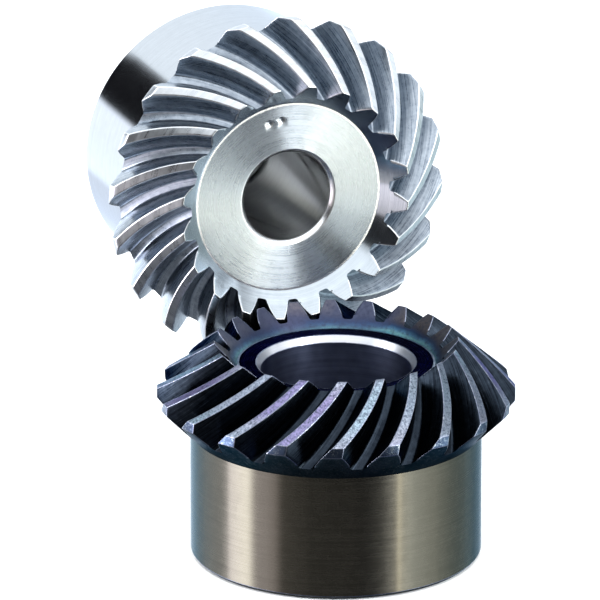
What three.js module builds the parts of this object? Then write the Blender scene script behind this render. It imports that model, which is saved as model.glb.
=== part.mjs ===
// A one-to-one spiral bevel gear pair (mitre gears) in mesh at their mounting distances, in millimetres, +Z up.
// The lower gear's axis is +Z and the upper gear's is +Y. Both cones meet at the apex, straight above the origin,
// which is the centre of the lower gear's back face. Each gear is one piece of steel: teeth, rim and hub.
// A short fixed arbor runs in the rear of each bore and stands for the shaft that carries the gear.
import * as THREE from "three";

// ---- The pair ----------------------------------------------------------------------------------------------
const TEETH = 20;
const MODULE = 3; // transverse, on the heel's pitch circle
const PITCH_ANGLE = Math.PI / 4; // one to one, shafts at a right angle
const PRESSURE_ANGLE = THREE.MathUtils.degToRad(20); // normal, at the middle of the face
const SPIRAL_ANGLE = THREE.MathUtils.degToRad(34); // at the middle of the face
const CUTTER_RADIUS = 38; // the face-milled teeth curve along an arc of this radius
const FACE_WIDTH = 14.25;
const ADDENDUM = 0.9 * MODULE;
const DEDENDUM = 1.088 * MODULE;
const FILLET_RADIUS = 0.25 * MODULE;
const TOOTH_THINNING = 0.1; // each tooth is this much thinner than half a pitch: twice this is the pair's backlash
const MESH_TURN = THREE.MathUtils.degToRad(2.8); // how far the upper gear stands turned on from a tooth at the mesh

// ---- The blank, the same for both gears; depths are measured from the apex along the axis --------------------
const MOUNTING_DISTANCE = 57; // apex to back face
const OUTSIDE_RADIUS = 30.95; // the crown is turned down to a cylinder
const HUB_RADIUS = 25.2;
const HUB_CHAMFER = 0.6;
const FRONT_DEPTH = 22.75; // apex to the flat front face
const FRONT_RADIUS = 17.1; // where the front face's edge meets the toe cone
const FRONT_CHAMFER = 0.35;
const REAR_BORE_CHAMFER = 0.5;

// ---- The bores and the arbors in them -----------------------------------------------------------------------
const LOWER_BORE = { radius: 13, chamferWidth: 0.8, chamferDepth: 1.2 };
const UPPER_BORE = { radius: 8, chamferWidth: 0.7, chamferDepth: 0.7 };
const RUNNING_CLEARANCE = 0.1; // radial, between an arbor and its bore
const LOWER_ARBOR_LENGTH = 8;
const UPPER_ARBOR_LENGTH = 4.5;
const ARBOR_CHAMFER = 0.5;

// ---- How finely the solids are faceted ----------------------------------------------------------------------
const STATIONS = 5; // steps along the face width
const ARBOR_SEGMENTS = 48;

// ---- Worked out ---------------------------------------------------------------------------------------------
const PITCH_STEP = (2 * Math.PI) / TEETH;
const HEEL_PITCH_RADIUS = (TEETH * MODULE) / 2;
const HEEL_DISTANCE = HEEL_PITCH_RADIUS / Math.sin(PITCH_ANGLE); // apex to heel along the pitch cone
const TOE_DISTANCE = HEEL_DISTANCE - FACE_WIDTH;
const MEAN_DISTANCE = HEEL_DISTANCE - FACE_WIDTH / 2;
const DEDENDUM_ANGLE = Math.atan(DEDENDUM / HEEL_DISTANCE);
const ROOT_ANGLE = PITCH_ANGLE - DEDENDUM_ANGLE;
const TRANSVERSE_PRESSURE_ANGLE = Math.atan(Math.tan(PRESSURE_ANGLE) / Math.cos(SPIRAL_ANGLE));
const BASE_ANGLE = Math.asin(Math.sin(PITCH_ANGLE) * Math.cos(TRANSVERSE_PRESSURE_ANGLE));
const CUTTER_OFFSET = Math.sqrt(
  MEAN_DISTANCE ** 2 + CUTTER_RADIUS ** 2 - 2 * MEAN_DISTANCE * CUTTER_RADIUS * Math.sin(SPIRAL_ANGLE),
);
const RING_SEGMENTS = TEETH * 3; // one for each corner of the bottom line of a tooth
const RING_STEP = (2 * Math.PI) / RING_SEGMENTS;

// ---- Tooth form ---------------------------------------------------------------------------------------------

// Azimuth from the start of a spherical involute to the point where it crosses the cone of this half-angle.
function involuteAzimuth(angle) {
  const unwound = Math.acos(Math.min(1, Math.cos(angle) / Math.cos(BASE_ANGLE)));
  return unwound / Math.sin(BASE_ANGLE) - Math.acos(Math.min(1, Math.tan(BASE_ANGLE) / Math.tan(angle)));
}

// Half of a tooth's thickness on the cone of this half-angle, as an azimuth.
function halfTooth(angle) {
  const atPitch = PITCH_STEP / 4 - TOOTH_THINNING / 2 / HEEL_PITCH_RADIUS;
  return atPitch + involuteAzimuth(PITCH_ANGLE) - involuteAzimuth(angle);
}

// How far the tooth has swept round at this distance from the apex, counted from the middle of the face.
function sweep(distance) {
  const crownAngle = (d) =>
    Math.acos((d ** 2 + CUTTER_OFFSET ** 2 - CUTTER_RADIUS ** 2) / (2 * d * CUTTER_OFFSET));
  return (crownAngle(MEAN_DISTANCE) - crownAngle(distance)) / Math.sin(PITCH_ANGLE);
}

// The tip's height over the pitch cone: the face cone runs parallel to the mate's root cone.
function tipHeight(along) {
  return ADDENDUM - (HEEL_DISTANCE - along) * Math.tan(DEDENDUM_ANGLE);
}

// The farthest a tooth point of this cone angle reaches along the pitch cone before the back cone or the crown.
function reach(angle) {
  const toCrown = (OUTSIDE_RADIUS * Math.cos(angle - PITCH_ANGLE)) / Math.sin(angle);
  return Math.min(HEEL_DISTANCE, toCrown);
}

// Where the face cone meets the turned crown.
function tipReach() {
  const taper = Math.tan(DEDENDUM_ANGLE);
  const heightAtApex = ADDENDUM - HEEL_DISTANCE * taper;
  const cosine = Math.cos(PITCH_ANGLE);
  return (OUTSIDE_RADIUS - heightAtApex * cosine) / (Math.sin(PITCH_ANGLE) + taper * cosine);
}

// The cone angle at which the back cone meets the turned crown.
function crownAngle() {
  const depth = 2 * HEEL_PITCH_RADIUS - OUTSIDE_RADIUS;
  return Math.atan2(OUTSIDE_RADIUS, depth);
}

// One side of a tooth, from the middle of the gap to the tip: azimuth from the tooth's centre, cone angle by
// distance along the pitch cone, and how far along the pitch cone the point reaches.
function halfProfile() {
  const fillet = FILLET_RADIUS / HEEL_DISTANCE;
  const wall = halfTooth(ROOT_ANGLE + fillet);
  const filletStep = (turn) => ({
    azimuth: wall + (fillet * (1 - Math.sin(turn))) / Math.sin(ROOT_ANGLE),
    angle: ROOT_ANGLE + fillet * (1 - Math.cos(turn)),
  });
  const crown = crownAngle();
  const flankStart = ROOT_ANGLE + fillet;
  const flank = [1 / 3, 2 / 3, 1].map((share) => {
    const angle = flankStart + share * (crown - flankStart);
    return { azimuth: halfTooth(angle), angle };
  });
  const fixed = [
    { azimuth: PITCH_STEP / 2, angle: ROOT_ANGLE },
    filletStep(0),
    filletStep(Math.PI / 4),
    filletStep(Math.PI / 2),
    ...flank,
  ].map((p) => ({ azimuth: () => p.azimuth, angle: () => p.angle, reach: reach(p.angle) }));
  const tipAngle = (along) => PITCH_ANGLE + Math.atan(tipHeight(along) / along);
  const tip = { azimuth: (along) => halfTooth(tipAngle(along)), angle: tipAngle, reach: tipReach(), isTip: true };
  return [...fixed, tip];
}

// A whole tooth in azimuth order, from the middle of one gap to just before the middle of the next.
function toothProfile() {
  const half = halfProfile();
  const turned = (point, sign) => ({ ...point, azimuth: (along) => sign * point.azimuth(along) });
  const rising = half.map((point) => turned(point, -1));
  const tip = half[half.length - 1];
  const centre = { ...tip, azimuth: () => 0 };
  const falling = half.slice(1).reverse();
  return [...rising, centre, ...falling];
}

// ---- Mesh building ------------------------------------------------------------------------------------------

// A closed surface in the gear's own frame: the apex at the origin and the gear's axis going down from it.
class Surface {
  positions = [];
  triangles = [];

  point(radius, azimuth, depth) {
    this.positions.push(radius * Math.cos(azimuth), radius * Math.sin(azimuth), -depth);
    return this.positions.length / 3 - 1;
  }

  quad(a, b, c, d) {
    this.triangles.push(a, b, c, a, c, d);
  }

  ring(radius, depth, turn) {
    return Array.from({ length: RING_SEGMENTS }, (_, i) => this.point(radius, turn + i * RING_STEP, depth));
  }

  // Joins two rings; the second ring is read from shift places on.
  strip(from, to, shift = 0) {
    const at = (ring, i) => ring[(i + RING_SEGMENTS) % RING_SEGMENTS];
    for (let i = 0; i < RING_SEGMENTS; i++) {
      this.quad(at(from, i), at(from, i + 1), at(to, i + 1 + shift), at(to, i + shift));
    }
  }

  geometry() {
    const geometry = new THREE.BufferGeometry();
    geometry.setAttribute("position", new THREE.Float32BufferAttribute(this.positions, 3));
    geometry.setIndex(this.triangles);
    geometry.computeVertexNormals();
    return geometry;
  }
}

// The columns of vertices round the whole gear, one for each profile point of each tooth, from toe to heel.
function toothColumns(surface, profile, hand, turn) {
  const columns = [];
  for (let tooth = 0; tooth < TEETH; tooth++) {
    for (const point of profile) {
      const column = [];
      for (let station = 0; station <= STATIONS; station++) {
        const along = TOE_DISTANCE + ((point.reach - TOE_DISTANCE) * station) / STATIONS;
        const angle = point.angle(along);
        const distance = along / Math.cos(angle - PITCH_ANGLE);
        const azimuth = turn + tooth * PITCH_STEP + point.azimuth(along) + hand * sweep(distance);
        column.push(surface.point(distance * Math.sin(angle), azimuth, distance * Math.cos(angle)));
      }
      columns.push(column);
    }
  }
  return columns;
}

function addTeeth(surface, columns) {
  columns.forEach((column, i) => {
    const next = columns[(i + 1) % columns.length];
    for (let station = 0; station < STATIONS; station++) {
      surface.quad(column[station], column[station + 1], next[station + 1], next[station]);
    }
  });
}

// Both ends of the teeth. Each tooth's end face is a ladder of quads from one side of the tooth to the other, on
// the front cone at the toe and on the back cone at the heel; above it the heel has the turned crown.
function addToothEnds(surface, columns, profile) {
  const side = profile.findIndex((point) => point.isTip);
  const crease = side - 1; // the last point that still reaches the back cone
  for (let tooth = 0; tooth < TEETH; tooth++) {
    const at = (i, station) => columns[tooth * profile.length + i][station];
    const mirrored = (i) => profile.length - i;
    for (let i = 1; i < side; i++) {
      surface.quad(at(i, 0), at(i + 1, 0), at(mirrored(i + 1), 0), at(mirrored(i), 0));
    }
    surface.triangles.push(at(side, 0), at(side + 1, 0), at(side + 2, 0));
    for (let i = 1; i < crease; i++) {
      const [a, b] = [mirrored(i), mirrored(i + 1)];
      surface.quad(at(a, STATIONS), at(b, STATIONS), at(i + 1, STATIONS), at(i, STATIONS));
    }
    for (let i = crease; i < crease + 3; i++) {
      surface.triangles.push(at(crease, STATIONS), at(i + 2, STATIONS), at(i + 1, STATIONS));
    }
  }
}

// The line along the bottom of the gaps at one end, with as many points as a ring of the blank.
function rootLine(columns, profile, station) {
  const corners = [0, 1, profile.length - 1];
  return Array.from({ length: TEETH }, (_, tooth) =>
    corners.map((i) => columns[tooth * profile.length + i][station]),
  ).flat();
}

// ---- Pieces -------------------------------------------------------------------------------------------------

function gearGeometry({ bore, hand, turn }) {
  const surface = new Surface();
  const profile = toothProfile();
  const columns = toothColumns(surface, profile, hand, turn);
  addTeeth(surface, columns);

  const frontTurn = turn - PITCH_STEP / 2 + hand * sweep(TOE_DISTANCE);
  const hubTurn = turn - PITCH_STEP / 2 + hand * sweep(HEEL_DISTANCE);
  const shift = Math.round((hubTurn - frontTurn) / RING_STEP);
  const back = MOUNTING_DISTANCE;

  const frontRings = [
    [FRONT_RADIUS, 2 * TOE_DISTANCE * Math.sin(PITCH_ANGLE) - FRONT_RADIUS],
    [FRONT_RADIUS - FRONT_CHAMFER, FRONT_DEPTH],
    [bore.radius + bore.chamferWidth, FRONT_DEPTH],
    [bore.radius, FRONT_DEPTH + bore.chamferDepth],
    [bore.radius, back - REAR_BORE_CHAMFER],
    [bore.radius + REAR_BORE_CHAMFER, back],
  ].map(([radius, depth]) => surface.ring(radius, depth, frontTurn));
  const hubRings = [
    [HUB_RADIUS - HUB_CHAMFER, back],
    [HUB_RADIUS, back - HUB_CHAMFER],
    [HUB_RADIUS, 2 * HEEL_PITCH_RADIUS - HUB_RADIUS],
  ].map(([radius, depth]) => surface.ring(radius, depth, hubTurn));

  surface.strip(rootLine(columns, profile, 0), frontRings[0]);
  frontRings.slice(1).forEach((ring, i) => surface.strip(frontRings[i], ring));
  surface.strip(frontRings[frontRings.length - 1], hubRings[0], -shift);
  hubRings.slice(1).forEach((ring, i) => surface.strip(hubRings[i], ring));
  surface.strip(hubRings[hubRings.length - 1], rootLine(columns, profile, STATIONS));
  addToothEnds(surface, columns, profile);
  return surface.geometry();
}

// A plain round arbor with chamfered ends, its rear face level with the gear's back face.
function arborGeometry(radius, length) {
  const rear = -MOUNTING_DISTANCE;
  const outline = [
    [0, rear],
    [radius - ARBOR_CHAMFER, rear],
    [radius, rear + ARBOR_CHAMFER],
    [radius, rear + length - ARBOR_CHAMFER],
    [radius - ARBOR_CHAMFER, rear + length],
    [0, rear + length],
  ].map(([x, y]) => new THREE.Vector2(x, y));
  return new THREE.LatheGeometry(outline, ARBOR_SEGMENTS).rotateX(Math.PI / 2);
}

function piece(name, geometry, color, roughness) {
  const material = new THREE.MeshStandardMaterial({ color, roughness, metalness: 1 });
  const mesh = new THREE.Mesh(geometry, material);
  mesh.name = name;
  return mesh;
}

// ---- The assembly -------------------------------------------------------------------------------------------

// The gears mesh at azimuth 90 degrees on the lower gear and 270 on the upper one, a tooth against a gap.
const lowerTurn = Math.PI / 2 - MESH_TURN + PITCH_STEP / 2;
const upperTurn = -Math.PI / 2 + MESH_TURN;

const lower = new THREE.Group();
lower.add(
  piece("lower_gear", gearGeometry({ bore: LOWER_BORE, hand: -1, turn: lowerTurn }), 0x30333c, 0.4),
  piece("lower_arbor", arborGeometry(LOWER_BORE.radius - RUNNING_CLEARANCE, LOWER_ARBOR_LENGTH), 0x9a9ea3, 0.35),
);

const upper = new THREE.Group();
upper.rotation.x = Math.PI / 2; // from hanging below the apex to standing out along +Y
upper.add(
  piece("upper_gear", gearGeometry({ bore: UPPER_BORE, hand: 1, turn: upperTurn }), 0xc4c8cc, 0.3),
  piece("upper_arbor", arborGeometry(UPPER_BORE.radius - RUNNING_CLEARANCE, UPPER_ARBOR_LENGTH), 0x9a9ea3, 0.35),
);

const pair = new THREE.Group();
pair.position.z = MOUNTING_DISTANCE; // the apex stands this far above the lower gear's back face
pair.add(lower, upper);

export default pair;
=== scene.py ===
"""The looks of the spiral bevel gear pair: finer meshes, procedural steels, floor, light and camera."""

import math

import bmesh
import bpy
import numpy as np
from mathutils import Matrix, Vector


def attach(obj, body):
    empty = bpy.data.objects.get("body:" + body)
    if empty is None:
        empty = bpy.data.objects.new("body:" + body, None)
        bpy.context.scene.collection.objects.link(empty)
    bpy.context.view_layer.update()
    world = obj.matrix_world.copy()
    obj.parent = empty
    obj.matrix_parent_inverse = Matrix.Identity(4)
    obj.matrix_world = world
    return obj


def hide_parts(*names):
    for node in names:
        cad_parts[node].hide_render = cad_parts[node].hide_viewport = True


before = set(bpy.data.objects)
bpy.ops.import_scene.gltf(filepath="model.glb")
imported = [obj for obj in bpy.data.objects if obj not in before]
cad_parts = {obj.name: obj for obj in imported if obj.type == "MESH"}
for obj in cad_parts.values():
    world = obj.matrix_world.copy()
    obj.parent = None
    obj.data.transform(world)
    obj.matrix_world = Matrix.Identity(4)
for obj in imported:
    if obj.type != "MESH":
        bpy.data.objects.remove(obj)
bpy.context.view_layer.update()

MM = 0.001

# ---- The pair, as in the CAD, in millimetres ---------------------------------------------------------------
TEETH = 20
MODULE = 3
PITCH_ANGLE = math.pi / 4
PRESSURE_ANGLE = math.radians(20)
SPIRAL_ANGLE = math.radians(34)
CUTTER_RADIUS = 38
FACE_WIDTH = 14.25
ADDENDUM = 0.9 * MODULE
DEDENDUM = 1.088 * MODULE
FILLET_RADIUS = 0.25 * MODULE
TOOTH_THINNING = 0.1  # at the pitch line, for play
MESH_TURN = math.radians(2.8)  # how far the pair has turned in the photo

MOUNTING_DISTANCE = 57
OUTSIDE_RADIUS = 30.95
HUB_RADIUS = 25.2
HUB_CHAMFER = 0.6
FRONT_DEPTH = 22.75  # depths are counted from the apex, down the gear's axis
FRONT_RADIUS = 17.1
FRONT_CHAMFER = 0.35
REAR_BORE_CHAMFER = 0.5
LOWER_BORE = {"radius": 13, "width": 0.8, "depth": 1.2}
UPPER_BORE = {"radius": 8, "width": 0.7, "depth": 0.7}
RUNNING_CLEARANCE = 0.1
LOWER_ARBOR_LENGTH = 8
UPPER_ARBOR_LENGTH = 4.5
ARBOR_CHAMFER = 0.5

# ---- How finely the gears are drawn ------------------------------------------------------------------------
STATIONS = 28  # steps along a tooth
FILLET_STEPS = 6
FLANK_STEPS = 9
TIP_STEPS = 3
LAND_STEPS = 3
FACE_STEPS, BORE_STEPS, HUB_STEPS = 4, 8, 5
HALVINGS = 40  # to find where a line of the tooth meets the back cone or the crown
LOWER_EDGE, UPPER_EDGE = 0.09, 0.14  # how wide the bright edges are: worn bright, and partly a painted highlight
EDGE_ANGLE = math.radians(28)
UNBEVELLED_HEIGHT = 1.3 * FILLET_RADIUS  # edges lower than this in a gap get no bevel, so neither wear nor painted highlight
TURNING_PITCH = 0.12  # from one turning line to the next
DOT_RADIUS, DOT_DEPTH = 0.55, 0.4
DOT_AZIMUTHS = (math.radians(95), math.radians(104))
DOT_PLACE = 14.2  # how far the punch dots are from the axis
DOT_SIDES = 24
DOT_CLEARING = 2.5 * DOT_RADIUS  # the flat is cut away this far round a dot, then filled again
ARBOR_SIDES = 96
ARBOR_CENTRE = 0.3  # radius of the small facet that closes an arbor's end

# ---- Worked out --------------------------------------------------------------------------------------------
PITCH_STEP = 2 * math.pi / TEETH
HEEL_RADIUS = TEETH * MODULE / 2
HEEL = HEEL_RADIUS / math.sin(PITCH_ANGLE)
TOE = HEEL - FACE_WIDTH
MEAN = HEEL - FACE_WIDTH / 2
DEDENDUM_ANGLE = math.atan(DEDENDUM / HEEL)
ROOT_ANGLE = PITCH_ANGLE - DEDENDUM_ANGLE
CROWN_ANGLE = math.atan2(OUTSIDE_RADIUS, 2 * HEEL_RADIUS - OUTSIDE_RADIUS)
TRANSVERSE_ANGLE = math.atan(math.tan(PRESSURE_ANGLE) / math.cos(SPIRAL_ANGLE))
BASE_ANGLE = math.asin(math.sin(PITCH_ANGLE) * math.cos(TRANSVERSE_ANGLE))
CUTTER_OFFSET = math.sqrt(MEAN**2 + CUTTER_RADIUS**2 - 2 * MEAN * CUTTER_RADIUS * math.sin(SPIRAL_ANGLE))


# ---- Tooth form --------------------------------------------------------------------------------------------
def involute_azimuth(angle):
    unwound = np.arccos(np.minimum(1, np.cos(angle) / math.cos(BASE_ANGLE)))
    return unwound / math.sin(BASE_ANGLE) - np.arccos(np.minimum(1, math.tan(BASE_ANGLE) / np.tan(angle)))


def half_tooth(angle):
    at_pitch = PITCH_STEP / 4 - TOOTH_THINNING / 2 / HEEL_RADIUS
    return at_pitch + involute_azimuth(PITCH_ANGLE) - involute_azimuth(angle)


def sweep(distance):
    def crown_angle(d):
        return np.arccos((d**2 + CUTTER_OFFSET**2 - CUTTER_RADIUS**2) / (2 * d * CUTTER_OFFSET))

    return (crown_angle(MEAN) - crown_angle(distance)) / math.sin(PITCH_ANGLE)


def tip_angle(along):
    height = ADDENDUM - (HEEL - along) * math.tan(DEDENDUM_ANGLE)
    return PITCH_ANGLE + np.arctan(height / along)


def half_profile():
    """One side of a tooth from the middle of the gap to the middle of the tip.

    Each point is a function of the distance along the pitch cone. It gives an azimuth and a cone angle."""
    fillet = FILLET_RADIUS / HEEL
    start = ROOT_ANGLE + fillet
    wall = half_tooth(start)
    points = [lambda along: (PITCH_STEP / 2, ROOT_ANGLE)]
    for turn in np.linspace(0, math.pi / 2, FILLET_STEPS + 1):
        azimuth = wall + fillet * (1 - math.sin(turn)) / math.sin(ROOT_ANGLE)
        angle = ROOT_ANGLE + fillet * (1 - math.cos(turn))
        points.append(lambda along, p=(azimuth, angle): p)
    for angle in np.linspace(start, CROWN_ANGLE, FLANK_STEPS + 1)[1:]:
        points.append(lambda along, p=(half_tooth(angle), angle): p)
    for share in np.linspace(0, 1, TIP_STEPS + 1)[1:]:
        points.append(lambda along, s=share: near_tip(along, s))
    for share in np.linspace(1, 0, LAND_STEPS + 1)[1:]:
        points.append(lambda along, s=share: (s * half_tooth(tip_angle(along)), tip_angle(along)))
    return points


def near_tip(along, share):
    angle = CROWN_ANGLE + share * (tip_angle(along) - CROWN_ANGLE)
    return half_tooth(angle), angle


def reach(point):
    """How far along the pitch cone this profile point goes before the back cone or the turned crown."""
    low, high = TOE, HEEL
    for _ in range(HALVINGS):
        middle = (low + high) / 2
        angle = point(middle)[1]
        inside = middle / math.cos(angle - PITCH_ANGLE) * math.sin(angle) <= OUTSIDE_RADIUS
        low, high = (middle, high) if inside else (low, middle)
    return high


# ---- Mesh building -----------------------------------------------------------------------------------------
class Shell:
    """A closed mesh in a gear's own frame: the apex at the origin and the axis going down from it."""

    def __init__(self, slots):
        self.slots = slots
        self.points, self.faces, self.finish = [], [], []
        self.tooth = []  # for each point: distance from the apex, height over the root cone, tooth number
        self.turned = []  # for each point: radius and depth

    def point(self, radius, azimuth, depth, tooth=(0.0, 0.0, 0.0)):
        self.points.append((radius * math.cos(azimuth), radius * math.sin(azimuth), -depth))
        self.tooth.append(tooth)
        self.turned.append((radius, depth, 0.0))
        return len(self.points) - 1

    def face(self, finish, *corners):
        self.faces.append(corners)
        self.finish.append(self.slots.index(finish))

    def ring(self, radius, depth, azimuths):
        return [self.point(radius, a, depth) for a in azimuths]

    def strip(self, finish, lower, upper):
        count = len(lower)
        for i in range(count):
            j = (i + 1) % count
            self.face(finish, lower[i], lower[j], upper[j], upper[i])

    def mesh(self, name, place, dots=()):
        mesh = bpy.data.meshes.new(name)
        mesh.from_pydata([Vector(p) * MM for p in self.points], [], self.faces)
        mesh.polygons.foreach_set("material_index", self.finish)
        mesh.polygons.foreach_set("use_smooth", [True] * len(self.faces))
        for key, values in (("tooth", self.tooth), ("turned", self.turned)):
            layer = mesh.attributes.new(key, "FLOAT_VECTOR", "POINT")
            layer.data.foreach_set("vector", np.array(values, np.float32).ravel())
        for azimuth in dots:
            punch_dot(mesh, azimuth, self.slots.index("face"))
        for vert in mesh.vertices:
            vert.co = place(vert.co)
        mesh.update()
        return mesh


def polar(along, angle):
    """Radius, depth and distance from the apex of a point on the cone of this angle."""
    distance = along / math.cos(angle - PITCH_ANGLE)
    return distance * math.sin(angle), distance * math.cos(angle), distance


def gear_shell(bore, hand, turn, slots):
    shell = Shell(slots)
    half = half_profile()
    count = 2 * len(half) - 2
    reaches = [reach(p) for p in half]
    corner = 1  # the profile point where the gap's bottom ends and the fillet starts
    crease = FILLET_STEPS + FLANK_STEPS + 1
    tip = crease + TIP_STEPS

    def column(tooth, index):
        side = -1 if index < len(half) else 1
        k = index if index < len(half) else count - index
        ids = []
        for s in range(STATIONS + 1):
            along = TOE + (reaches[k] - TOE) * s / STATIONS
            azimuth, angle = half[k](along)
            radius, depth, distance = polar(along, angle)
            a = turn + tooth * PITCH_STEP + side * azimuth + hand * float(sweep(distance))
            grain = (distance, (angle - ROOT_ANGLE) * distance, float(tooth))
            ids.append(shell.point(radius, a, depth, grain))
        return ids

    columns = [[column(t, i) for i in range(count)] for t in range(TEETH)]
    flat = [c for tooth in columns for c in tooth]
    for i, this in enumerate(flat):
        following = flat[(i + 1) % len(flat)]
        k = i % count
        finish = "land" if tip <= k < count - tip else "flank"
        for s in range(STATIONS):
            shell.face(finish, this[s], this[s + 1], following[s + 1], following[s])

    teeth = (shell, half, columns, reaches, hand, turn)
    toe_line, toe_azimuths = tooth_end(*teeth, 0, corner, tip, tip)
    heel_line, heel_azimuths = tooth_end(*teeth, STATIONS, corner, crease, tip)
    revolve_blank(shell, bore, toe_line, toe_azimuths, heel_line, heel_azimuths)
    return shell


def tooth_end(shell, half, columns, reaches, hand, turn, station, corner, top, tip):
    """The end faces of the teeth, as a grid from the foot of each tooth to its top.

    Returns the line round the feet of the teeth and the gaps, and its azimuths."""
    heel = station > 0
    count = len(columns[0])
    across = 2 * LAND_STEPS
    line, azimuths = [], []
    for tooth, tooth_columns in enumerate(columns):
        rows = []
        for k in range(corner, tip + 1):
            along = reaches[k] if heel else TOE
            azimuth, angle = half[k](along)
            radius, depth, distance = polar(along, angle)
            middle = turn + tooth * PITCH_STEP + hand * float(sweep(distance))
            if k == tip:
                row = [tooth_columns[i][station] for i in range(tip, count - tip + 1)]
            else:
                grain = (distance, (angle - ROOT_ANGLE) * distance, float(tooth))
                inner = [
                    shell.point(radius, middle + azimuth * (2 * j / across - 1), depth, grain)
                    for j in range(1, across)
                ]
                row = [tooth_columns[k][station], *inner, tooth_columns[count - k][station]]
            rows.append(row)
            if k == corner:
                start = turn + (tooth - 0.5) * PITCH_STEP + hand * float(sweep(distance))
                line += [tooth_columns[0][station], *row]
                azimuths += [start, *(middle + azimuth * (2 * j / across - 1) for j in range(across + 1))]
        for k, (low, high) in enumerate(zip(rows, rows[1:]), start=corner):
            finish = ("crown" if k >= top else "cone") if heel else "toe"
            for j in range(across):
                quad = (low[j], high[j], high[j + 1], low[j + 1])
                shell.face(finish, *(reversed(quad) if heel else quad))
    return line, azimuths


def revolve_blank(shell, bore, toe_line, toe_azimuths, heel_line, heel_azimuths):
    """Everything below the teeth: front face, bore, back face, hub and the rest of the back cone.

    Each ring has a finish, a radius, a depth, and how far it turns from the toe line to the heel line."""
    back = MOUNTING_DISTANCE
    toe_azimuths, heel_azimuths = np.array(toe_azimuths), np.array(heel_azimuths)
    edge = bore["radius"] + bore["width"]
    rim = FRONT_RADIUS - FRONT_CHAMFER
    front = [("toe", FRONT_RADIUS, 2 * TOE * math.sin(PITCH_ANGLE) - FRONT_RADIUS, 0)]
    front.append(("rim", rim, FRONT_DEPTH, 0))
    front += [("face", r, FRONT_DEPTH, 0) for r in np.linspace(rim, edge, FACE_STEPS + 1)[1:]]
    front.append(("mouth", bore["radius"], FRONT_DEPTH + bore["depth"], 0))
    bore_depths = np.linspace(FRONT_DEPTH + bore["depth"], back - REAR_BORE_CHAMFER, BORE_STEPS + 1)[1:]
    front += [("bore", bore["radius"], d, (i + 1) / BORE_STEPS) for i, d in enumerate(bore_depths)]
    inner = bore["radius"] + REAR_BORE_CHAMFER
    front.append(("back", inner, back, 1))
    outer = HUB_RADIUS - HUB_CHAMFER
    front += [("back", r, back, 1) for r in np.linspace(inner, outer, FACE_STEPS + 1)[1:]]
    front.append(("hub", HUB_RADIUS, back - HUB_CHAMFER, 1))
    top = 2 * HEEL_RADIUS - HUB_RADIUS
    front += [("hub", HUB_RADIUS, d, 1) for d in np.linspace(back - HUB_CHAMFER, top, HUB_STEPS + 1)[1:]]
    last = toe_line
    for finish, radius, depth, twist in front:
        ring = shell.ring(radius, depth, toe_azimuths + twist * (heel_azimuths - toe_azimuths))
        shell.strip(finish, last, ring)
        last = ring
    shell.strip("cone", last, heel_line)


def punch_dot(mesh, azimuth, finish):
    """A conical punch mark in the front face, as a hole filled round by triangles in the flat."""
    centre = Vector((DOT_PLACE * math.cos(azimuth), DOT_PLACE * math.sin(azimuth), -FRONT_DEPTH)) * MM
    bm = bmesh.new()
    bm.from_mesh(mesh)
    turned = bm.verts.layers.float_vector["turned"]
    near = [f for f in bm.faces if (f.calc_center_median() - centre).length < DOT_CLEARING * MM]
    bmesh.ops.delete(bm, geom=near, context="FACES")
    outline = [e for e in bm.edges if len(e.link_faces) == 1]
    circle = []
    for a in np.linspace(0, 2 * math.pi, DOT_SIDES, endpoint=False):
        circle.append(bm.verts.new(centre + Vector((math.cos(a), math.sin(a), 0)) * DOT_RADIUS * MM))
    rim = [bm.edges.new((a, b)) for a, b in zip(circle, circle[1:] + circle[:1])]
    filled = bmesh.ops.triangle_fill(bm, edges=outline + rim, use_beauty=True, normal=(0, 0, 1))
    bottom = bm.verts.new(centre - Vector((0, 0, DOT_DEPTH * MM)))
    faces = [f for f in filled["geom"] if isinstance(f, bmesh.types.BMFace)]
    faces += [bm.faces.new((a, b, bottom)) for a, b in zip(circle, circle[1:] + circle[:1])]
    for face in faces:
        face.material_index = finish
        face.smooth = True
    for vert in [*circle, bottom]:
        vert[turned] = (math.hypot(vert.co.x, vert.co.y) / MM, FRONT_DEPTH, 0)
    bm.to_mesh(mesh)
    bm.free()


def mark_sharp_edges(mesh):
    """Sorts the corners: outward ones are given a bevel, which is worn bright and partly carries a painted
    highlight, and the rest are kept crisp.
    """
    bm = bmesh.new()
    bm.from_mesh(mesh)
    weight = bm.edges.layers.float.new("bevel_weight_edge")
    tooth = bm.verts.layers.float_vector["tooth"]
    for edge in bm.edges:
        if len(edge.link_faces) != 2:
            continue
        turn = edge.calc_face_angle_signed(0)
        in_gap = any(v[tooth].x > 0 and v[tooth].y < UNBEVELLED_HEIGHT for v in edge.verts)
        if turn > EDGE_ANGLE and not in_gap:
            edge[weight] = 1
        elif abs(turn) > EDGE_ANGLE:
            edge.smooth = False
    bm.to_mesh(mesh)
    bm.free()


def add_piece(name, shell, place, materials, body, edge_width, dots=()):
    """Adds a piece on its body, in place of the CAD node that has its name without "_look"."""
    mesh = shell.mesh(name, place, dots)
    for slot in shell.slots:
        mesh.materials.append(materials[slot])
    obj = bpy.data.objects.new(name, mesh)
    bpy.context.scene.collection.objects.link(obj)
    mark_sharp_edges(mesh)
    bevel = obj.modifiers.new("worn_edges_and_painted_highlight", "BEVEL")
    bevel.limit_method = "WEIGHT"
    bevel.width = edge_width * MM
    bevel.segments = 2
    bevel.use_clamp_overlap = False
    # the bevel takes the edge finish: worn bright, and partly a painted highlight
    bevel.material = shell.slots.index("edge")
    smooth = obj.modifiers.new("normals", "WEIGHTED_NORMAL")
    smooth.weight = 50
    smooth.keep_sharp = True
    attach(obj, body)
    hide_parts(name.removesuffix("_look"))


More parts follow.
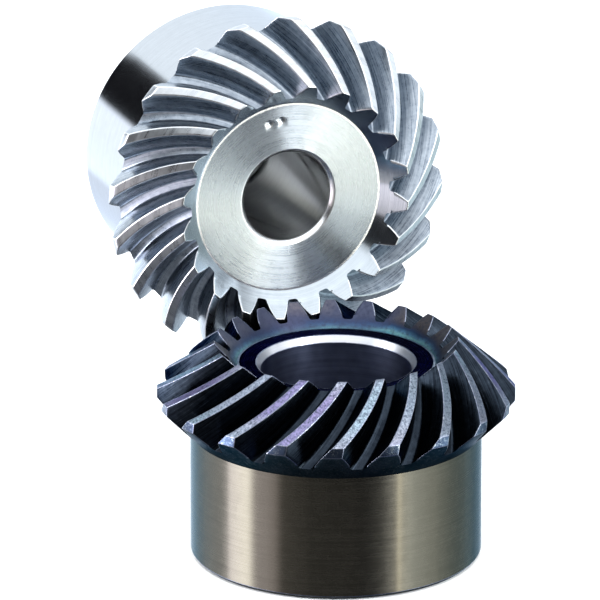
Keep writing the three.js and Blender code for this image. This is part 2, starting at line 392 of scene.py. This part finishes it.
# ---- Materials ---------------------------------------------------------------------------------------------
CLEAN = (1, 1, 1)  # a glance tint that darkens nothing
OXIDE = (0.24, 0.30, 0.36)  # the glance tint of an oxide film
QUARTER_TURN = 0.25
TURNING_WOBBLE = 1.5  # how much the shade of a turning line varies on its way round
STREAK_SCALE = (0.12, 5.0, 7.3)  # along the tooth, up it, and from tooth to tooth
HEAT_SCALE = (0.05, 0.0, 2.3)  # the same for the heat tints
TINT_START, TINT_WIDTH, TINT_WANDER = 17.6, 3.4, 1.6  # the heat rings' radius, breadth and unevenness


class Nodes:
    """What a material and the world have in common: adding nodes to a tree and joining them."""

    def node(self, kind, **settings):
        node = self.tree.nodes.new(kind)
        for key, value in settings.items():
            setattr(node, key, value)
        return node

    def link(self, source, target):
        self.tree.links.new(source, target)

    def split(self, vector):
        node = self.node("ShaderNodeSeparateXYZ")
        self.link(vector, node.inputs[0])
        return node.outputs

    def maths(self, operation, a, b):
        node = self.node("ShaderNodeMath", operation=operation)
        for socket, value in zip(node.inputs, (a, b)):
            if isinstance(value, bpy.types.NodeSocket):
                self.link(value, socket)
            else:
                socket.default_value = value
        return node.outputs[0]

    def mix(self, share, low, high):
        """share is a socket. low and high are sockets or colours."""
        node = self.node("ShaderNodeMix", data_type="RGBA")
        self.link(share, node.inputs[0])
        for socket, value in ((node.inputs[6], low), (node.inputs[7], high)):
            if isinstance(value, bpy.types.NodeSocket):
                self.link(value, socket)
            else:
                socket.default_value = (*value, 1)
        return node.outputs[2]

    def ramp(self, value, *stops):
        """A colour for each stop (position, colour); a number stands for a grey."""
        node = self.node("ShaderNodeValToRGB")
        elements = node.color_ramp.elements
        while len(elements) < len(stops):
            elements.new(0.5)
        for element, (position, colour) in zip(elements, stops):
            element.position = position
            element.color = (colour, colour, colour, 1) if isinstance(colour, (int, float)) else (*colour, 1)
        self.link(value, node.inputs[0])
        return node.outputs[0]


class Steel(Nodes):
    """A metal built from nodes: colour from noise between two tones, with bump and roughness of its own."""

    def __init__(self, name, roughness):
        self.material = bpy.data.materials.new(name)
        self.material.use_nodes = True
        self.tree = self.material.node_tree
        self.shader = self.tree.nodes["Principled BSDF"]
        self.shader.inputs["Metallic"].default_value = 1
        self.shader.inputs["Roughness"].default_value = roughness

    def attribute(self, name):
        return self.node("ShaderNodeAttribute", attribute_name=name).outputs["Vector"]

    def scaled(self, vector, scale):
        node = self.node("ShaderNodeVectorMath", operation="MULTIPLY")
        self.link(vector, node.inputs[0])
        node.inputs[1].default_value = scale
        return node.outputs[0]

    def place(self):
        """The place on the piece, in millimetres."""
        metres = self.node("ShaderNodeTexCoord").outputs["Object"]
        return self.scaled(metres, (1 / MM, 1 / MM, 1 / MM))

    def noise(self, vector, scale, detail, roughness=0.55):
        node = self.node("ShaderNodeTexNoise")
        self.link(vector, node.inputs["Vector"])
        node.inputs["Scale"].default_value = scale
        node.inputs["Detail"].default_value = detail
        node.inputs["Roughness"].default_value = roughness
        return node.outputs["Fac"]

    def total(self, first, *others):
        """The sum of values, each given with its weight."""
        total = self.maths("MULTIPLY", *first)
        for value, weight in others:
            total = self.maths("ADD", total, self.maths("MULTIPLY", value, weight))
        return total

    def colour(self, socket):
        self.link(socket, self.shader.inputs["Base Color"])

    def rough(self, socket):
        self.link(socket, self.shader.inputs["Roughness"])

    def bump(self, height, depth):
        """depth is how far the height's full range moves the surface, in millimetres."""
        node = self.node("ShaderNodeBump")
        node.inputs["Strength"].default_value = 1
        node.inputs["Distance"].default_value = depth * MM
        self.link(height, node.inputs["Height"])
        self.link(node.outputs[0], self.shader.inputs["Normal"])

    def glance(self, tint):
        """Darkens the reflections seen at a shallow angle, as an oxide film does."""
        self.shader.inputs["Specular Tint"].default_value = (*tint, 1)

    def spread(self, axis, amount):
        """Stretches the highlights across turning lines that run round this axis."""
        tangent = self.node("ShaderNodeTangent", direction_type="RADIAL", axis=axis)
        self.link(tangent.outputs[0], self.shader.inputs["Tangent"])
        self.shader.inputs["Anisotropic"].default_value = amount
        self.shader.inputs["Anisotropic Rotation"].default_value = QUARTER_TURN


def turned_steel(name, dark, light, roughness, axis, spread, groove=0.004, along="radius", glance=CLEAN):
    """Steel turned on a lathe: rings that run round the axis, drawn from the radius or the depth."""
    steel = Steel(name, roughness)
    radius, depth, _ = steel.split(steel.attribute("turned"))
    across = radius if along == "radius" else depth
    place = steel.place()
    wobble = steel.noise(place, scale=0.12, detail=2)
    combined = steel.node("ShaderNodeCombineXYZ")
    steel.link(steel.maths("DIVIDE", across, TURNING_PITCH), combined.inputs[0])
    steel.link(steel.maths("MULTIPLY", wobble, TURNING_WOBBLE), combined.inputs[1])
    lines = steel.noise(combined.outputs[0], scale=1.0, detail=2, roughness=0.7)
    broad = steel.noise(combined.outputs[0], scale=0.12, detail=3, roughness=0.6)
    mottle = steel.noise(place, scale=0.55, detail=4)
    tone = steel.total((lines, 0.4), (broad, 0.35), (mottle, 0.25))
    steel.colour(steel.ramp(tone, (0.3, dark), (0.7, light)))
    steel.rough(steel.ramp(tone, (0.25, roughness * 0.8), (0.75, roughness * 1.25)))
    steel.bump(lines, groove)
    steel.glance(glance)
    if spread:
        steel.spread(axis, spread)
    return steel.material


def ground_steel(name, dark, light, roughness, bright, groove=0.006, glance=CLEAN):
    """Steel ground or cut along the tooth: streaks that run from toe to heel, a few of them worn bright."""
    steel = Steel(name, roughness)
    grain = steel.scaled(steel.attribute("tooth"), STREAK_SCALE)
    streaks = steel.noise(grain, scale=1.0, detail=4, roughness=0.65)
    patches = steel.noise(steel.place(), scale=0.9, detail=5, roughness=0.65)
    tone = steel.total((streaks, 0.7), (patches, 0.3))
    steel.colour(steel.ramp(tone, (0.36, dark), (0.60, light), (0.78, bright)))
    steel.rough(steel.ramp(tone, (0.3, roughness * 0.8), (0.7, roughness * 1.3)))
    steel.bump(streaks, groove)
    steel.glance(glance)
    return steel.material


def speckled_steel(name, dark, light, worn, roughness, scale=1.6, glance=CLEAN, tempered=False):
    """Heat treated steel: a dark oxide broken up by specks where it has rubbed through.

    Tempered, it has wider specks, which go from pale cyan to violet from tooth to tooth."""
    steel = Steel(name, roughness)
    steel.glance(glance)
    place = steel.place()
    specks = steel.noise(place, scale, detail=6, roughness=0.75)
    patches = steel.noise(place, scale=0.3, detail=3)
    base = steel.ramp(patches, (0.35, dark), (0.65, light))
    cover = steel.ramp(specks, (0.36 if tempered else 0.52, 0), (0.62, 1))
    if tempered:
        heat = steel.noise(steel.scaled(steel.attribute("tooth"), HEAT_SCALE), scale=1.0, detail=1)
        cyan, grey, violet = (0.40, 0.52, 0.62), (0.44, 0.46, 0.56), (0.31, 0.27, 0.48)
        worn = steel.ramp(heat, (0.38, cyan), (0.5, grey), (0.6, violet))
    steel.colour(steel.mix(cover, base, worn))
    steel.rough(steel.ramp(specks, (0.4, roughness * 1.2), (0.65, roughness * 0.8)))
    steel.bump(specks, depth=0.01)
    return steel.material


def tempered_steel(name):
    """The toe ring of the lower gear: brown grey on the teeth, with the blue and teal that heat leaves in
    the ring below them, and a blush of violet grey here and there."""
    steel = Steel(name, roughness=0.3)
    place = steel.place()
    radius, _, _ = steel.split(steel.attribute("turned"))
    wander = steel.maths("MULTIPLY", steel.noise(place, scale=0.12, detail=3), TINT_WANDER)
    share = steel.maths("SUBTRACT", steel.maths("ADD", radius, wander), TINT_START)
    tints = steel.ramp(
        steel.maths("DIVIDE", share, TINT_WIDTH),
        (0.04, (0.10, 0.27, 0.32)),
        (0.12, (0.16, 0.36, 0.38)),
        (0.24, (0.07, 0.17, 0.28)),
        (0.36, (0.03, 0.06, 0.13)),
        (0.50, (0.06, 0.06, 0.08)),
        (0.64, (0.11, 0.10, 0.105)),
        (0.95, (0.14, 0.13, 0.14)),
    )
    blush = steel.ramp(steel.noise(place, scale=0.09, detail=2), (0.5, 0), (0.7, 0.7))
    tints = steel.mix(blush, tints, (0.17, 0.13, 0.18))
    shade = steel.noise(steel.scaled(place, (1, 1.3, 0.4)), scale=0.07, detail=2)
    tints = steel.mix(steel.ramp(shade, (0.42, 0), (0.6, 0.75)), tints, (0.04, 0.055, 0.11))
    grain = steel.noise(place, scale=1.4, detail=5, roughness=0.7)
    steel.colour(steel.mix(steel.ramp(grain, (0.45, 0), (0.75, 1)), tints, (0.04, 0.045, 0.08)))
    steel.rough(steel.ramp(grain, (0.3, 0.26), (0.7, 0.42)))
    steel.bump(grain, depth=0.008)
    return steel.material


SLOTS = ("land", "flank", "toe", "rim", "face", "mouth", "bore", "crown", "cone", "hub", "back", "edge")

lower_finish = {
    "land": speckled_steel(
        "lower_land", (0.03, 0.04, 0.06), (0.09, 0.11, 0.165), (0.30, 0.35, 0.42), 0.3,
        scale=2.4, glance=OXIDE, tempered=True,
    ),
    "flank": ground_steel(
        "lower_flank", (0.005, 0.007, 0.011), (0.03, 0.04, 0.055), 0.28, (0.17, 0.21, 0.26), glance=OXIDE,
    ),
    "toe": tempered_steel("lower_toe"),
    "rim": speckled_steel("lower_rim", (0.05, 0.08, 0.14), (0.12, 0.18, 0.26), (0.30, 0.36, 0.42), 0.3),
    "face": turned_steel(
        "lower_face", (0.008, 0.01, 0.026), (0.03, 0.035, 0.07), 0.34, "Z", 0.5, glance=(0.15, 0.16, 0.3),
    ),
    "mouth": turned_steel("lower_mouth", (0.46, 0.47, 0.50), (0.66, 0.67, 0.70), 0.3, "Z", 0.4),
    "bore": turned_steel(
        "lower_bore", (0.075, 0.09, 0.15), (0.16, 0.185, 0.28), 0.36, "Z", 0.6,
        groove=0.003, along="depth", glance=(0.5, 0.5, 0.7),
    ),
    "crown": speckled_steel("lower_crown", (0.03, 0.045, 0.09), (0.09, 0.13, 0.21), (0.26, 0.32, 0.40), 0.3),
    "cone": speckled_steel(
        "lower_cone", (0.06, 0.10, 0.13), (0.12, 0.17, 0.22), (0.24, 0.31, 0.38), 0.3, glance=OXIDE,
    ),
    "hub": turned_steel(
        "lower_hub", (0.09, 0.084, 0.068), (0.15, 0.141, 0.115), 0.26, "Z", 0.97,
        groove=0.002, along="depth", glance=(0.4, 0.5, 0.58),
    ),
    "back": turned_steel("lower_back", (0.40, 0.39, 0.37), (0.60, 0.59, 0.57), 0.32, "Z", 0.7),
    # the bevelled edges: oxide rubbed through, and paler still as a painted highlight
    "edge": speckled_steel("lower_worn_edge_painted_highlight", (0.16, 0.18, 0.26), (0.28, 0.31, 0.40), (0.55, 0.58, 0.65), 0.32),
}

upper_finish = {
    "land": ground_steel("upper_land", (0.42, 0.45, 0.48), (0.60, 0.63, 0.66), 0.28, (0.85, 0.88, 0.9)),
    "flank": ground_steel(
        "upper_flank", (0.12, 0.15, 0.19), (0.42, 0.47, 0.53), 0.28, (0.76, 0.80, 0.84), groove=0.01,
    ),
    "toe": turned_steel(
        "upper_toe", (0.34, 0.38, 0.42), (0.50, 0.55, 0.59), 0.16, "Y", 0.3, glance=(0.85, 0.9, 0.95),
    ),
    "rim": turned_steel("upper_rim", (0.85, 0.87, 0.90), (0.97, 0.97, 0.98), 0.25, "Y", 0.3),
    "face": turned_steel("upper_face", (0.39, 0.43, 0.465), (0.61, 0.67, 0.715), 0.27, "Y", 1.0),
    "mouth": turned_steel("upper_mouth", (0.80, 0.82, 0.84), (0.95, 0.95, 0.96), 0.25, "Y", 0.3),
    "bore": turned_steel("upper_bore", (0.50, 0.51, 0.52), (0.74, 0.75, 0.76), 0.22, "Y", 0.5, along="depth"),
    "crown": ground_steel("upper_crown", (0.38, 0.41, 0.45), (0.56, 0.59, 0.63), 0.3, (0.75, 0.78, 0.81)),
    "cone": turned_steel("upper_cone", (0.34, 0.37, 0.41), (0.50, 0.53, 0.57), 0.3, "Y", 0.3, groove=0.002),
    "hub": turned_steel(
        "upper_hub", (0.43, 0.445, 0.465), (0.53, 0.55, 0.57), 0.09, "Y", 0.1,
        groove=0.001, along="depth", glance=(0.7, 0.74, 0.8),
    ),
    "back": turned_steel(
        "upper_back", (0.32, 0.34, 0.36), (0.48, 0.50, 0.52), 0.3, "Y", 0.8, glance=(0.3, 0.32, 0.35),
    ),
    # the bevelled edges: worn bright, and paler still as a painted highlight
    "edge": ground_steel("upper_worn_edge_painted_highlight", (0.62, 0.64, 0.66), (0.82, 0.83, 0.84), 0.3, (0.95, 0.95, 0.95)),
}

arbor_finish = {
    "face": turned_steel("arbor_end", (0.40, 0.41, 0.42), (0.58, 0.59, 0.60), 0.35, "Z", 0.0),
    # the arbors' bevels are paler than their ends: a painted highlight
    "edge": turned_steel("arbor_edge_painted_highlight", (0.70, 0.71, 0.72), (0.85, 0.86, 0.87), 0.3, "Z", 0.0),
}


# ---- Pieces ------------------------------------------------------------------------------------------------
def stand(p):
    """From a gear's own frame to the lower gear's place."""
    return (p.x, p.y, p.z + MOUNTING_DISTANCE * MM)


def lay(p):
    """From a gear's own frame to the upper gear's place: the axis turned from down to +Y."""
    return (p.x, -p.z, p.y + MOUNTING_DISTANCE * MM)


def arbor_shell(radius, length):
    shell = Shell(("face", "edge"))
    azimuths = np.linspace(0, 2 * math.pi, ARBOR_SIDES, endpoint=False)
    back = MOUNTING_DISTANCE
    radii = [ARBOR_CENTRE, radius - ARBOR_CHAMFER, radius, radius, radius - ARBOR_CHAMFER, ARBOR_CENTRE]
    depths = [back, back, back - ARBOR_CHAMFER, back - length + ARBOR_CHAMFER, back - length, back - length]
    rings = [shell.ring(r, d, azimuths) for r, d in zip(radii, depths)]
    for low, high in zip(rings, rings[1:]):
        shell.strip("face", low, high)
    shell.face("face", *reversed(rings[0]))
    shell.face("face", *rings[-1])
    return shell


lower_turn = math.pi / 2 - MESH_TURN + PITCH_STEP / 2
upper_turn = -math.pi / 2 + MESH_TURN
lower_shell = gear_shell(LOWER_BORE, -1, lower_turn, SLOTS)
upper_shell = gear_shell(UPPER_BORE, 1, upper_turn, SLOTS)
lower_arbor = arbor_shell(LOWER_BORE["radius"] - RUNNING_CLEARANCE, LOWER_ARBOR_LENGTH)
upper_arbor = arbor_shell(UPPER_BORE["radius"] - RUNNING_CLEARANCE, UPPER_ARBOR_LENGTH)
add_piece("lower_gear_look", lower_shell, stand, lower_finish, "lower_gear", LOWER_EDGE)
add_piece("upper_gear_look", upper_shell, lay, upper_finish, "upper_gear", UPPER_EDGE, DOT_AZIMUTHS)
add_piece("lower_arbor_look", lower_arbor, stand, arbor_finish, "arbors", UPPER_EDGE)
add_piece("upper_arbor_look", upper_arbor, lay, arbor_finish, "arbors", UPPER_EDGE)

# ---- Camera: at the photograph's angle, far off with a long lens -------------------------------------------
CAMERA_AZIMUTH = math.radians(-21.3)
CAMERA_ELEVATION = math.radians(19.4)
CAMERA_DISTANCE = 1.371
CAMERA_LENS = 480
AIM_RIGHT, AIM_UP = -0.00624, -0.01085  # from the apex to the middle of the picture

apex = Vector((0, 0, MOUNTING_DISTANCE * MM))
away = Vector((
    math.sin(CAMERA_AZIMUTH) * math.cos(CAMERA_ELEVATION),
    -math.cos(CAMERA_AZIMUTH) * math.cos(CAMERA_ELEVATION),
    math.sin(CAMERA_ELEVATION),
))
right = Vector((math.cos(CAMERA_AZIMUTH), math.sin(CAMERA_AZIMUTH), 0))
aim = apex + right * AIM_RIGHT + away.cross(right) * AIM_UP

camera = bpy.data.objects.new("camera", bpy.data.cameras.new("camera"))
camera.data.lens = CAMERA_LENS
camera.data.clip_start, camera.data.clip_end = 0.05, 20
camera.location = aim + away * CAMERA_DISTANCE
camera.rotation_mode = "QUATERNION"
camera.rotation_quaternion = (-away).to_track_quat("-Z", "Y")
bpy.context.scene.collection.objects.link(camera)
bpy.context.scene.camera = camera


# ---- Floor and light ---------------------------------------------------------------------------------------
FLOOR_REACH = 3.0
FLOOR_DROP = 0.0001  # the floor lies this far below the hub, so that the two don't share a plane
BACKDROP = (0.98, 0.98, 0.98, 1)


def add_floor():
    """A plain pale floor. The steels don't mirror it: the world below the horizon takes its place in them."""
    size = FLOOR_REACH
    mesh = bpy.data.meshes.new("floor")
    corners = [(-size, -size, 0), (size, -size, 0), (size, size, 0), (-size, size, 0)]
    mesh.from_pydata(corners, [], [(0, 1, 2, 3)])
    floor = bpy.data.objects.new("floor", mesh)
    floor.location.z = -FLOOR_DROP
    floor.visible_glossy = False
    material = bpy.data.materials.new("floor")
    material.use_nodes = True
    shader = material.node_tree.nodes["Principled BSDF"]
    shader.inputs["Base Color"].default_value = (0.92, 0.92, 0.92, 1)
    shader.inputs["Roughness"].default_value = 0.9
    shader.inputs["Specular IOR Level"].default_value = 0.1
    mesh.materials.append(material)
    bpy.context.scene.collection.objects.link(floor)


def add_softbox(name, azimuth, elevation, distance, width, height, power):
    """An area light aimed at the apex. Azimuth is counted from the camera's side, positive to its right."""
    a = CAMERA_AZIMUTH + math.radians(azimuth)
    e = math.radians(elevation)
    towards = Vector((math.sin(a) * math.cos(e), -math.cos(a) * math.cos(e), math.sin(e)))
    lamp = bpy.data.lights.new(name, "AREA")
    lamp.shape = "RECTANGLE"
    lamp.size, lamp.size_y = width, height
    lamp.energy = power
    obj = bpy.data.objects.new(name, lamp)
    obj.location = apex + towards * distance
    obj.rotation_mode = "QUATERNION"
    obj.rotation_quaternion = (-towards).to_track_quat("-Z", "Y")
    obj.visible_camera = False
    bpy.context.scene.collection.objects.link(obj)
    return obj


class Room(Nodes):
    """The world: a pale studio with darker and lighter walls, given by azimuth in bands of elevation."""

    def __init__(self):
        world = bpy.data.worlds.new("studio")
        bpy.context.scene.world = world
        world.use_nodes = True
        self.tree = world.node_tree
        self.background = self.tree.nodes["Background"]

    def band(self, azimuth, stops):
        """Colours round the room. Each stop is degrees from the camera's side and a colour."""
        return self.ramp(azimuth, *((d / 360 + 0.5, [c / BRIGHTEST for c in colour]) for d, colour in stops))

    def between(self, height, low, high):
        """From 0 at the low elevation to 1 at the high one. height is the sine of an elevation."""
        node = self.node("ShaderNodeMapRange", interpolation_type="SMOOTHSTEP")
        self.link(height, node.inputs[0])
        node.inputs[1].default_value = math.sin(math.radians(low))
        node.inputs[2].default_value = math.sin(math.radians(high))
        return node.outputs[0]

    def build(self, lowest, *bands):
        """Takes the lowest band's stops, then each higher band's elevation, half its blend and its stops."""
        turn = self.node("ShaderNodeVectorRotate", rotation_type="Z_AXIS")
        turn.inputs["Angle"].default_value = -CAMERA_AZIMUTH
        self.link(self.node("ShaderNodeTexCoord").outputs["Generated"], turn.inputs["Vector"])
        side, depth, height = self.split(turn.outputs[0])
        azimuth = self.node("ShaderNodeMapRange")
        self.link(self.maths("ARCTAN2", side, self.maths("MULTIPLY", depth, -1)), azimuth.inputs[0])
        azimuth.inputs[1].default_value = -math.pi
        azimuth.inputs[2].default_value = math.pi
        colour = self.band(azimuth.outputs[0], lowest)
        for elevation, blend, stops in bands:
            share = self.between(height, elevation - blend, elevation + blend)
            colour = self.mix(share, colour, self.band(azimuth.outputs[0], stops))
        seen = self.node("ShaderNodeBackground")
        seen.inputs["Color"].default_value = BACKDROP
        choose = self.node("ShaderNodeMixShader")
        self.link(self.node("ShaderNodeLightPath").outputs["Is Camera Ray"], choose.inputs[0])
        self.link(colour, self.background.inputs["Color"])
        self.background.inputs["Strength"].default_value = BRIGHTEST
        self.link(self.background.outputs[0], choose.inputs[1])
        self.link(seen.outputs[0], choose.inputs[2])
        self.link(choose.outputs[0], self.tree.nodes["World Output"].inputs["Surface"])


# Light from the walls, where 1 is the picture's white. Degrees are positive to the camera's right.
BRIGHTEST = 9.0
PALE, WHITE, BLACK = (1.62, 1.72, 1.80), (1.9, 1.95, 2.0), (0.01, 0.01, 0.012)
STRIPE, GLINT, WINDOW = (9.0, 8.9, 9.0), (7.9, 7.6, 6.5), (7.0, 7.1, 7.2)
FLOOR = (
    (-180, (0.3, 0.32, 0.35)), (-110, (0.4, 0.42, 0.45)), (-60, (0.15, 0.16, 0.18)), (20, (0.08, 0.08, 0.10)),
    (60, (0.06, 0.09, 0.2)), (110, (0.05, 0.07, 0.12)), (150, (0.3, 0.33, 0.37)), (180, (0.3, 0.32, 0.35)),
)
LOW = (
    (-180, (1.6, 1.75, 1.95)), (-97, (1.4, 1.4, 1.45)), (-95, (6.4, 6.1, 7.0)), (-72, STRIPE),
    (-69, (2.3, 2.25, 2.5)), (-56, (2.3, 2.25, 2.45)), (-50, (0.5, 0.48, 0.48)), (-20, (0.17, 0.165, 0.16)),
    (22, (0.09, 0.09, 0.09)), (57, (0.06, 0.08, 0.16)), (60, (3.4, 3.7, 3.8)), (86, (2.0, 2.15, 2.1)),
    (116, (0.6, 0.75, 0.8)), (130, (0.95, 1.2, 1.3)), (142, (0.75, 0.9, 1.0)), (180, (1.6, 1.75, 1.95)),
)
BELOW = (
    (-180, (1.8, 1.95, 2.15)), (-147, (2.4, 2.6, 2.8)), (-132, (1.9, 2.0, 2.15)), (-97, (1.9, 1.9, 2.1)),
    (-95, (6.4, 6.1, 7.0)), (-72, STRIPE), (-69, (2.4, 2.15, 2.4)), (-48, (2.6, 2.35, 2.5)),
    (-43, (0.5, 0.47, 0.46)), (-20, (0.17, 0.165, 0.16)), (22, (0.09, 0.09, 0.09)), (41, (0.6, 0.62, 0.6)),
    (46, (1.0, 1.04, 1.04)), (47.5, GLINT), (52, GLINT), (54, (3.2, 3.3, 3.1)), (64, (2.0, 2.1, 2.0)),
    (86, (1.05, 1.15, 1.1)), (100, (0.55, 0.68, 0.66)), (116, (0.65, 0.8, 0.82)), (128, (1.1, 1.35, 1.45)),
    (137, (0.8, 1.05, 1.15)), (180, (1.8, 1.95, 2.15)),
)
LEVEL = (
    (-180, PALE), (-142, PALE), (-141, BLACK), (-124, BLACK), (-123, PALE), (-97, PALE), (-95, STRIPE),
    (-72, STRIPE), (-69, (1.2, 1.2, 1.2)), (-52, (0.4, 0.4, 0.42)), (-46, BLACK), (30, (0.04, 0.04, 0.045)),
    (38, (0.4, 0.4, 0.4)), (40, WINDOW), (57, WINDOW), (60, (1.9, 2.0, 2.1)), (95, (1.5, 1.6, 1.7)),
    (112, (1.9, 2.0, 2.1)), (120, (0.6, 0.65, 0.7)), (135, (0.5, 0.53, 0.57)), (160, PALE), (180, PALE),
)
ABOVE = (
    (-180, PALE), (-115, (0.9, 0.95, 1.0)), (-100, (1.7, 1.8, 1.9)), (-60, (1.7, 1.8, 1.9)), (-36, WHITE),
    (38, WHITE), (40, WINDOW), (60, WINDOW), (62, WHITE), (95, WHITE), (105, (0.45, 0.47, 0.5)),
    (150, (0.5, 0.52, 0.55)), (180, PALE),
)
OVERHEAD = (
    (-180, PALE), (-115, (0.9, 0.95, 1.0)), (-100, (1.7, 1.8, 1.9)), (-60, (1.7, 1.8, 1.9)), (-36, WHITE),
    (95, WHITE), (105, (0.45, 0.47, 0.5)), (150, (0.5, 0.52, 0.55)), (180, PALE),
)

add_floor()
Room().build(FLOOR, (-35, 4, LOW), (-21, 2, BELOW), (3, 1.5, LEVEL), (30, 3, ABOVE), (46, 4, OVERHEAD))
fill = add_softbox("fill", azimuth=0, elevation=80, distance=1.5, width=2.4, height=2.4, power=28)
fill.visible_glossy = False

bpy.context.scene.view_settings.view_transform = "Standard"
